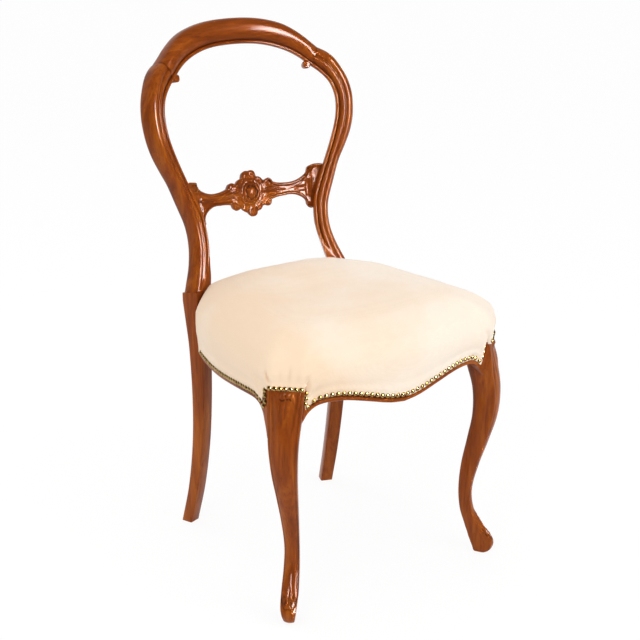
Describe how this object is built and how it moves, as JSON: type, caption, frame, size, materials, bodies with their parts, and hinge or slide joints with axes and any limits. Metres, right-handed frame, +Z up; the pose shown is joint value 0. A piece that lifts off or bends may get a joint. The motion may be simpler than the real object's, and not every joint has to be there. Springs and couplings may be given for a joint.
{
  "type": "balloon back dining chair",
  "caption": "Wooden balloon back dining chair with a curved open back, carved cross splat, stuffed nailed seat and cabriole front legs.",
  "frame": {"origin": "on the floor under the middle of the chair's box", "axes": "+Z up, the front of the seat faces -Y, +X is the sitter's left"},
  "size_m": [0.4762, 0.5388, 0.8983],
  "materials": {
    "walnut": "French polished reddish brown walnut",
    "hidden_timber": "plain unpolished beech",
    "screw_steel": "plain steel",
    "spring_steel": "coppered steel wire",
    "webbing": "woven jute webbing",
    "canvas": "coarse jute canvas",
    "stuffing": "curled hair and wadding",
    "cover_fabric": "cream plain weave cloth",
    "bottom_cloth": "black cotton dust cloth",
    "nail_brass": "antique brass with dark hollows"
  },
  "bodies": {
    "root": {"left_back_post": "walnut", "right_back_post": "walnut", "crest_rail": "walnut", "crest_dowels": "hidden_timber", "splat_rail": "walnut", "front_seat_rail": "walnut", "left_seat_rail": "walnut", "right_seat_rail": "walnut", "back_seat_rail": "walnut", "left_front_leg": "walnut", "right_front_leg": "walnut", "left_front_corner_block": "hidden_timber", "right_front_corner_block": "hidden_timber", "left_back_corner_block": "hidden_timber", "right_back_corner_block": "hidden_timber", "corner_block_screws": "screw_steel", "webbing_front_to_back": "webbing", "webbing_side_to_side": "webbing", "seat_springs": "spring_steel", "spring_canvas": "canvas", "seat_stuffing": "stuffing", "seat_cover": "cover_fabric", "bottom_cloth": "bottom_cloth", "front_cover_nails": "nail_brass", "left_cover_nails": "nail_brass", "right_cover_nails": "nail_brass", "back_cover_nails": "nail_brass", "left_leg_top_nails": "nail_brass", "right_leg_top_nails": "nail_brass"}
  },
  "joints": []
}
